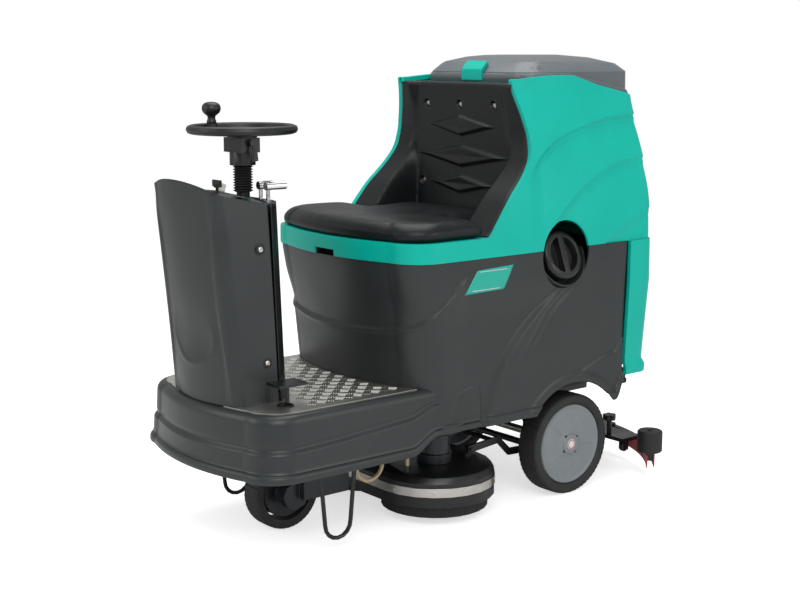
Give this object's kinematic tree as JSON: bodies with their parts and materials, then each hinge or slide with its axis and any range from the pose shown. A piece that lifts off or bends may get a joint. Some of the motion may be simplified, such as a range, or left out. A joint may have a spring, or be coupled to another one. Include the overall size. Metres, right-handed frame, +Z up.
{
  "type": "ride-on floor scrubber",
  "caption": "Battery ride-on scrubber with steering column, foot platform, seat on a tilting recovery tank, disc brush deck, and a curved rear squeegee.",
  "frame": {"origin": "centre of the box's base, on the floor under the machine", "axes": "-Y is the front, +X the driver's left, +Z up"},
  "size_m": [0.834, 1.6201, 1.318],
  "materials": {
    "black_steel": "satin black paint",
    "grey_polyethylene": "rotationally moulded, satin",
    "tread_aluminium": "embossed tread plate",
    "battery_case": "moulded",
    "bright_steel": "brushed",
    "black_plastic": "fine grain",
    "panel_plastic": "satin",
    "black_rubber": "matt",
    "motor_metal": "semi gloss paint",
    "clear_hose": "translucent hose",
    "tyre_rubber": "worn rubber",
    "soft_black": "soft grain",
    "chrome_grip": "bright",
    "grey_wheel": "semi gloss paint",
    "teal_polyethylene": "rotationally moulded, semi gloss",
    "seat_skin": "grained integral foam skin",
    "lid_plastic": "satin",
    "brush_plastic": "bristles",
    "red_rubber": "smooth"
  },
  "bodies": {
    "chassis": {"chassis_frame": "black_steel", "lower_body": "grey_polyethylene", "checker_plate": "tread_aluminium", "filler_neck": "grey_polyethylene", "battery_pack": "battery_case", "rear_axle": "bright_steel", "steering_chain": "bright_steel", "column_cover": "grey_polyethylene", "column_rear_panel": "black_plastic", "control_panel": "panel_plastic", "column_tube": "black_steel", "column_bellows": "black_rubber", "wheel_bracket": "black_plastic", "guard_hoop_left": "black_steel", "guard_hoop_right": "black_steel", "deck_actuator": "motor_metal", "solution_valve": "black_plastic", "solution_hose": "clear_hose"},
    "drive_unit": {"steer_fork": "black_steel", "drive_motor": "motor_metal"},
    "drive_wheel": {"drive_tyre": "tyre_rubber", "drive_hub": "motor_metal"},
    "steering": {"steering_wheel": "soft_black", "steering_shaft": "bright_steel"},
    "spinner": {"spinner_knob": "black_plastic"},
    "direction_switch": {"direction_lever": "black_plastic"},
    "column_clamp": {"wing_knob": "black_plastic"},
    "squeegee_control": {"squeegee_lever": "chrome_grip"},
    "brush_control": {"brush_lever": "chrome_grip"},
    "key": {"ignition_key": "bright_steel"},
    "brake": {"brake_pedal": "black_steel"},
    "accelerator": {"accelerator_pedal": "black_steel"},
    "rear_wheel_left": {"rear_tyre_left": "tyre_rubber", "rear_disc_left": "grey_wheel"},
    "rear_wheel_right": {"rear_tyre_right": "tyre_rubber", "rear_disc_right": "grey_wheel"},
    "tank": {"upper_body": "teal_polyethylene", "seat_cushion": "seat_skin", "seat_back": "seat_skin", "vacuum_motor": "motor_metal", "drain_outlet": "black_rubber"},
    "lid": {"tank_lid": "lid_plastic"},
    "latch": {"lid_latch": "teal_polyethylene"},
    "cap": {"filler_cap": "black_plastic"},
    "deck_links": {"deck_arms": "black_steel"},
    "deck": {"deck_cover": "black_plastic", "deck_band": "bright_steel", "brush_motor_left": "motor_metal", "brush_motor_right": "motor_metal"},
    "brush_left": {"brush_left": "brush_plastic"},
    "brush_right": {"brush_right": "brush_plastic"},
    "squeegee_links": {"squeegee_arm": "black_steel"},
    "squeegee": {"squeegee_beam": "black_steel", "squeegee_blade": "red_rubber"},
    "knob_left": {"squeegee_knob_left": "black_plastic"},
    "knob_right": {"squeegee_knob_right": "black_plastic"},
    "roller_left": {"bumper_roller_left": "black_rubber"},
    "roller_right": {"bumper_roller_right": "black_rubber"},
    "caster_left": {"squeegee_caster_left": "black_rubber"},
    "caster_right": {"squeegee_caster_right": "black_rubber"}
  },
  "joints": [
    {"name": "steer", "type": "hinge", "parent": "chassis", "child": "drive_unit", "pos_m": [0, -0.481, 0.25], "axis": [0, 0, 1], "range_deg": [-55, 55]},
    {"name": "drive_spin", "type": "hinge", "parent": "drive_unit", "child": "drive_wheel", "pos_m": [0, -0.481, 0.107], "axis": [1, 0, 0], "continuous": true},
    {"name": "steering_turn", "type": "hinge", "parent": "chassis", "child": "steering", "pos_m": [0, -0.589, 1.125], "axis": [0, 0, 1], "range_deg": [-165, 165]},
    {"name": "spinner_spin", "type": "hinge", "parent": "steering", "child": "spinner", "pos_m": [-0.10344, -0.62004, 1.16], "axis": [0, 0, 1], "continuous": true},
    {"name": "direction_select", "type": "hinge", "parent": "chassis", "child": "direction_switch", "pos_m": [0.047, -0.589, 1.091], "axis": [1, 0, 0], "range_deg": [-18, 18]},
    {"name": "column_clamp_turn", "type": "hinge", "parent": "chassis", "child": "column_clamp", "pos_m": [-0.05, -0.64, 0.96], "axis": [0, 0, 1], "continuous": true},
    {"name": "squeegee_lever_swing", "type": "hinge", "parent": "chassis", "child": "squeegee_control", "pos_m": [0.085, -0.566, 0.905], "axis": [1, 0, 0], "range_deg": [-15, 15]},
    {"name": "brush_lever_swing", "type": "hinge", "parent": "chassis", "child": "brush_control", "pos_m": [0.05, -0.566, 0.905], "axis": [1, 0, 0], "range_deg": [-15, 15]},
    {"name": "key_turn", "type": "hinge", "parent": "chassis", "child": "key", "pos_m": [-0.1, -0.59753, 0.94824], "axis": [0, 0.2873, 0.9578], "range_deg": [0, 75]},
    {"name": "brake_press", "type": "hinge", "parent": "chassis", "child": "brake", "pos_m": [0.215, -0.602, 0.345], "axis": [1, 0, 0], "range_deg": [0, 12], "stiffness_Nm_per_rad": 20, "springref_deg": -11.46},
    {"name": "accelerator_press", "type": "hinge", "parent": "chassis", "child": "accelerator", "pos_m": [-0.215, -0.602, 0.345], "axis": [1, 0, 0], "range_deg": [0, 12], "stiffness_Nm_per_rad": 20, "springref_deg": -11.46},
    {"name": "rear_spin_left", "type": "hinge", "parent": "chassis", "child": "rear_wheel_left", "pos_m": [0.26, 0.375, 0.1545], "axis": [1, 0, 0], "continuous": true},
    {"name": "rear_spin_right", "type": "hinge", "parent": "chassis", "child": "rear_wheel_right", "pos_m": [-0.26, 0.375, 0.1545], "axis": [1, 0, 0], "continuous": true},
    {"name": "tank_tilt", "type": "hinge", "parent": "chassis", "child": "tank", "pos_m": [0, 0.66, 0.337], "axis": [-1, 0, 0], "range_deg": [0, 60]},
    {"name": "lid_open", "type": "hinge", "parent": "tank", "child": "lid", "pos_m": [0, 0.7, 1.188], "axis": [-1, 0, 0], "range_deg": [0, 80]},
    {"name": "latch_open", "type": "hinge", "parent": "lid", "child": "latch", "pos_m": [0, 0.246, 1.296], "axis": [-1, 0, 0], "range_deg": [0, 60]},
    {"name": "cap_turn", "type": "hinge", "parent": "chassis", "child": "cap", "pos_m": [0.336, 0.294, 0.749], "axis": [0.9397, 0, 0.342], "continuous": true},
    {"name": "deck_lift", "type": "hinge", "parent": "chassis", "child": "deck_links", "pos_m": [0, 0.32, 0.136], "axis": [1, 0, 0], "range_deg": [0, 5.4]},
    {"name": "deck_level", "type": "hinge", "parent": "deck_links", "child": "deck", "pos_m": [0, 0.054, 0.175], "axis": [1, 0, 0], "range_deg": [-5.4, 0]},
    {"name": "brush_spin_left", "type": "hinge", "parent": "deck", "child": "brush_left", "pos_m": [0.159, -0.05, 0.1], "axis": [0, 0, 1], "continuous": true},
    {"name": "brush_spin_right", "type": "hinge", "parent": "deck", "child": "brush_right", "pos_m": [-0.159, -0.05, 0.1], "axis": [0, 0, 1], "continuous": true},
    {"name": "squeegee_lift", "type": "hinge", "parent": "chassis", "child": "squeegee_links", "pos_m": [0, 0.42, 0.21], "axis": [-1, 0, 0], "range_deg": [0, 17]},
    {"name": "squeegee_level", "type": "hinge", "parent": "squeegee_links", "child": "squeegee", "pos_m": [0, 0.62, 0.13], "axis": [-1, 0, 0], "range_deg": [-17, 0]},
    {"name": "knob_turn_left", "type": "hinge", "parent": "squeegee", "child": "knob_left", "pos_m": [0.17, 0.68, 0.12], "axis": [0, 0, 1], "continuous": true},
    {"name": "knob_turn_right", "type": "hinge", "parent": "squeegee", "child": "knob_right", "pos_m": [-0.17, 0.68, 0.12], "axis": [0, 0, 1], "continuous": true},
    {"name": "roller_spin_left", "type": "hinge", "parent": "squeegee", "child": "roller_left", "pos_m": [0.378, 0.63947, 0.13], "axis": [0, 0, 1], "continuous": true},
    {"name": "roller_spin_right", "type": "hinge", "parent": "squeegee", "child": "roller_right", "pos_m": [-0.378, 0.63947, 0.13], "axis": [0, 0, 1], "continuous": true},
    {"name": "caster_spin_left", "type": "hinge", "parent": "squeegee", "child": "caster_left", "pos_m": [0.225, 0.69, 0.0765], "axis": [1, 0, 0], "continuous": true},
    {"name": "caster_spin_right", "type": "hinge", "parent": "squeegee", "child": "caster_right", "pos_m": [-0.225, 0.69, 0.0765], "axis": [1, 0, 0], "continuous": true}
  ],
  "couplings": [
    {"joint": "steering_turn", "follows": "steer", "ratio": 3},
    {"joint": "deck_level", "follows": "deck_lift", "ratio": -1},
    {"joint": "squeegee_level", "follows": "squeegee_lift", "ratio": -1}
  ]
}
